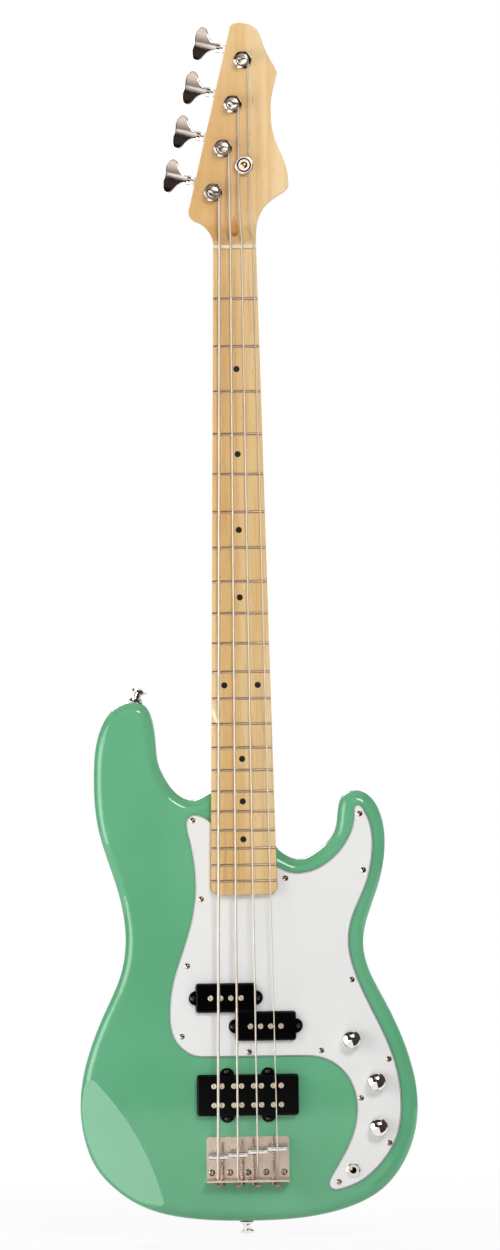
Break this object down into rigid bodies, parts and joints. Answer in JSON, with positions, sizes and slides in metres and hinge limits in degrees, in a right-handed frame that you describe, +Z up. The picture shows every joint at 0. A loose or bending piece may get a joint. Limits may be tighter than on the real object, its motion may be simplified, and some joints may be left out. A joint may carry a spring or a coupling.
{
  "type": "electric bass guitar",
  "caption": "Solid-body electric bass guitar: bolt-on maple neck, offset green body, white pickguard, split and bridge pickups, geared tuners and a bridge with adjustable saddles.",
  "frame": {"origin": "on the neck's centre line, at the nut's playing edge, on the crown of the fretboard", "axes": "+Z up the neck towards the head, +Y to the back of the body, +X to the player's right hand as seen from the front"},
  "size_m": [0.3243, 0.0634, 1.1649],
  "materials": {
    "maple": "satin lacquer over straight grain",
    "walnut": "satin lacquer",
    "black_inlay": "flush and satin",
    "steel": "plain steel",
    "cream_nut": "polished",
    "nickel_silver": "polished",
    "green_lacquer": "gloss lacquer in pale green",
    "chrome": "mirror chrome",
    "white_plastic": "three-ply, white with a dark middle",
    "nickel": "polished nickel",
    "black_plastic": "satin",
    "pole_steel": "polished ends",
    "copper_wire": "enamelled windings",
    "foam": "open foam",
    "felt": "pressed felt",
    "capacitor_coating": "dipped",
    "wire_cover": "plain",
    "string_steel": "round-wound",
    "brass": "plain brass"
  },
  "bodies": {
    "instrument": {"neck": "maple", "walnut_inlays": "walnut", "position_dots": "black_inlay", "truss_rod": "steel", "truss_rod_nut": "steel", "string_nut": "cream_nut", "frets": "nickel_silver", "body": "green_lacquer", "neck_plate": "chrome", "neck_screws": "chrome", "pickguard": "white_plastic", "pickguard_screws": "nickel", "split_pickup_covers": "black_plastic", "bridge_pickup_cover": "black_plastic", "pickup_pole_pieces": "pole_steel", "pickup_coils": "copper_wire", "pickup_screws": "nickel", "pickup_foams": "foam", "bridge_plate": "chrome", "bridge_screws": "nickel", "strap_buttons": "chrome", "strap_button_screws": "nickel", "strap_felts": "felt", "pots": "steel", "control_nuts": "nickel", "jack": "nickel", "capacitor": "capacitor_coating", "wiring": "wire_cover", "tuner_housings": "chrome", "tuner_nuts": "nickel", "tuner_screws": "nickel", "string_retainer": "nickel", "strings": "string_steel", "ball_ends": "brass", "intonation_spring_e": "steel", "intonation_spring_a": "steel", "intonation_spring_d": "steel", "intonation_spring_g": "steel"},
    "tuner_key_e": {"tuner_key_e": "chrome"},
    "tuner_post_e": {"tuner_post_e": "nickel"},
    "tuner_key_a": {"tuner_key_a": "chrome"},
    "tuner_post_a": {"tuner_post_a": "nickel"},
    "tuner_key_d": {"tuner_key_d": "chrome"},
    "tuner_post_d": {"tuner_post_d": "nickel"},
    "tuner_key_g": {"tuner_key_g": "chrome"},
    "tuner_post_g": {"tuner_post_g": "nickel"},
    "intonation_screw_e": {"intonation_screw_e": "steel"},
    "saddle_e": {"saddle_e": "nickel"},
    "intonation_screw_a": {"intonation_screw_a": "steel"},
    "saddle_a": {"saddle_a": "nickel"},
    "intonation_screw_d": {"intonation_screw_d": "steel"},
    "saddle_d": {"saddle_d": "nickel"},
    "intonation_screw_g": {"intonation_screw_g": "steel"},
    "saddle_g": {"saddle_g": "nickel"},
    "front_volume_control": {"front_volume_knob": "chrome", "front_volume_shaft": "steel"},
    "rear_volume_control": {"rear_volume_knob": "chrome", "rear_volume_shaft": "steel"},
    "tone_control": {"tone_knob": "chrome", "tone_shaft": "steel"}
  },
  "joints": [
    {"name": "tuner_key_e_turn", "type": "hinge", "parent": "instrument", "child": "tuner_key_e", "pos_m": [-0.01825, 0.0298, 0.06155], "axis": [-0.9732, 0, 0.2298], "continuous": true},
    {"name": "tuner_post_e_turn", "type": "hinge", "parent": "instrument", "child": "tuner_post_e", "pos_m": [-0.01997, 0, 0.05425], "axis": [0, 1, 0], "continuous": true},
    {"name": "tuner_key_a_turn", "type": "hinge", "parent": "instrument", "child": "tuner_key_a", "pos_m": [-0.00826, 0.0298, 0.10383], "axis": [-0.9732, 0, 0.2298], "continuous": true},
    {"name": "tuner_post_a_turn", "type": "hinge", "parent": "instrument", "child": "tuner_post_a", "pos_m": [-0.00998, 0, 0.09653], "axis": [0, 1, 0], "continuous": true},
    {"name": "tuner_key_d_turn", "type": "hinge", "parent": "instrument", "child": "tuner_key_d", "pos_m": [0.00172, 0.0298, 0.14612], "axis": [-0.9732, 0, 0.2298], "continuous": true},
    {"name": "tuner_post_d_turn", "type": "hinge", "parent": "instrument", "child": "tuner_post_d", "pos_m": [0, 0, 0.13882], "axis": [0, 1, 0], "continuous": true},
    {"name": "tuner_key_g_turn", "type": "hinge", "parent": "instrument", "child": "tuner_key_g", "pos_m": [0.01171, 0.0298, 0.18841], "axis": [-0.9732, 0, 0.2298], "continuous": true},
    {"name": "tuner_post_g_turn", "type": "hinge", "parent": "instrument", "child": "tuner_post_g", "pos_m": [0.00998, 0, 0.18111], "axis": [0, 1, 0], "continuous": true},
    {"name": "intonation_screw_e_turn", "type": "hinge", "parent": "instrument", "child": "intonation_screw_e", "pos_m": [-0.0245, -0.00071, -0.8956], "axis": [0, 0, 1], "range_deg": [-360, 5160]},
    {"name": "saddle_e_slide", "type": "slide", "parent": "instrument", "child": "saddle_e", "axis": [0, 0, 1], "range_m": [0, 0.006], "deforming": ["intonation_spring_e"]},
    {"name": "intonation_screw_a_turn", "type": "hinge", "parent": "instrument", "child": "intonation_screw_a", "pos_m": [-0.0055, -0.00221, -0.8956], "axis": [0, 0, 1], "range_deg": [-360, 5160]},
    {"name": "saddle_a_slide", "type": "slide", "parent": "instrument", "child": "saddle_a", "axis": [0, 0, 1], "range_m": [0, 0.006], "deforming": ["intonation_spring_a"]},
    {"name": "intonation_screw_d_turn", "type": "hinge", "parent": "instrument", "child": "intonation_screw_d", "pos_m": [0.0055, -0.00221, -0.8956], "axis": [0, 0, 1], "range_deg": [-360, 5160]},
    {"name": "saddle_d_slide", "type": "slide", "parent": "instrument", "child": "saddle_d", "axis": [0, 0, 1], "range_m": [0, 0.006], "deforming": ["intonation_spring_d"]},
    {"name": "intonation_screw_g_turn", "type": "hinge", "parent": "instrument", "child": "intonation_screw_g", "pos_m": [0.0245, -0.00071, -0.8956], "axis": [0, 0, 1], "range_deg": [-360, 5160]},
    {"name": "saddle_g_slide", "type": "slide", "parent": "instrument", "child": "saddle_g", "axis": [0, 0, 1], "range_m": [0, 0.006], "deforming": ["intonation_spring_g"]},
    {"name": "front_volume_turn", "type": "hinge", "parent": "instrument", "child": "front_volume_control", "pos_m": [0.10099, 0, -0.76005], "axis": [0, -1, 0], "range_deg": [-150, 150]},
    {"name": "rear_volume_turn", "type": "hinge", "parent": "instrument", "child": "rear_volume_control", "pos_m": [0.12451, 0, -0.80095], "axis": [0, -1, 0], "range_deg": [-150, 150]},
    {"name": "tone_turn", "type": "hinge", "parent": "instrument", "child": "tone_control", "pos_m": [0.126, 0, -0.84465], "axis": [0, -1, 0], "range_deg": [-150, 150]}
  ],
  "couplings": [
    {"joint": "tuner_post_e_turn", "follows": "tuner_key_e_turn", "ratio": 0.05},
    {"joint": "tuner_post_a_turn", "follows": "tuner_key_a_turn", "ratio": 0.05},
    {"joint": "tuner_post_d_turn", "follows": "tuner_key_d_turn", "ratio": 0.05},
    {"joint": "tuner_post_g_turn", "follows": "tuner_key_g_turn", "ratio": 0.05},
    {"joint": "intonation_screw_e_turn", "follows": "saddle_e_slide", "rad_per_m": 13963},
    {"joint": "intonation_screw_a_turn", "follows": "saddle_a_slide", "rad_per_m": 13963},
    {"joint": "intonation_screw_d_turn", "follows": "saddle_d_slide", "rad_per_m": 13963},
    {"joint": "intonation_screw_g_turn", "follows": "saddle_g_slide", "rad_per_m": 13963}
  ]
}
